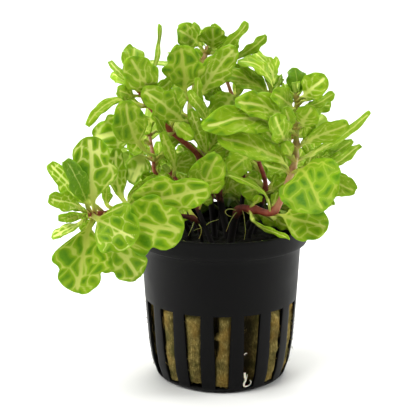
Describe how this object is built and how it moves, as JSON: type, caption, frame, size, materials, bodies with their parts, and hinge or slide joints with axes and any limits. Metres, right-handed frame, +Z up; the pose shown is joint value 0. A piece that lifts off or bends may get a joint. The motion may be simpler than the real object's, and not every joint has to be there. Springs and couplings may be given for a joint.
{
  "type": "potted mexican oakleaf",
  "caption": "Variegated water plant with lobed leaves on branching stems, rooted in a mineral wool plug in a slotted round net pot.",
  "frame": {"origin": "middle of the underside of the pot", "axes": "+Z up along the pot's axis, -Y towards the front of the plant, +X to its right"},
  "size_m": [0.0977, 0.0821, 0.1134],
  "materials": {
    "pot": "matte black injection-moulded polypropylene",
    "wool": "damp olive-brown mineral wool fibre",
    "stem": "smooth reddish-brown living stem",
    "leaf": "satin green leaf with yellow-green net veins"
  },
  "bodies": {
    "root": {"back_leaves_1": "leaf", "back_leaves_2": "leaf", "back_leaves_3": "leaf", "back_left_leaves_1": "leaf", "back_left_leaves_2": "leaf", "back_left_leaves_3": "leaf", "back_left_stem": "stem", "back_right_leaves_1": "leaf", "back_right_leaves_2": "leaf", "back_right_leaves_3": "leaf", "back_right_stem": "stem", "back_stem": "stem", "centre_leaves_3": "leaf", "centre_leaves_4": "leaf", "centre_leaves_5": "leaf", "centre_leaves_6": "leaf", "centre_right_leaves_1": "leaf", "centre_right_leaves_2": "leaf", "centre_right_leaves_4": "leaf", "centre_right_leaves_5": "leaf", "centre_right_stem": "stem", "centre_stem": "stem", "front_left_leaves_1": "leaf", "front_left_leaves_2": "leaf", "front_left_stem": "stem", "left_leaves_2": "leaf", "left_leaves_3": "leaf", "left_leaves_4": "leaf", "left_leaves_5": "leaf", "left_leaves_6": "leaf", "left_leaves_7": "leaf", "left_leaves_8": "leaf", "left_middle_leaves_3": "leaf", "left_middle_leaves_4": "leaf", "left_middle_stem": "stem", "left_stem": "stem", "net_pot": "pot", "right_back_leaves_2": "leaf", "right_back_leaves_3": "leaf", "right_back_leaves_4": "leaf", "right_back_stem": "stem", "right_leaves_2": "leaf", "right_leaves_3": "leaf", "right_leaves_4": "leaf", "right_leaves_5": "leaf", "right_leaves_6": "leaf", "right_leaves_7": "leaf", "right_leaves_8": "leaf", "right_leaves_9": "leaf", "right_stem": "stem", "rockwool_plug": "wool", "top_leaves_3": "leaf", "top_leaves_5": "leaf", "top_stem": "stem", "upper_left_leaves_2": "leaf", "upper_left_leaves_3": "leaf", "upper_left_leaves_4": "leaf", "upper_left_leaves_5": "leaf", "upper_left_leaves_6": "leaf", "upper_left_stem": "stem"}
  },
  "joints": []
}
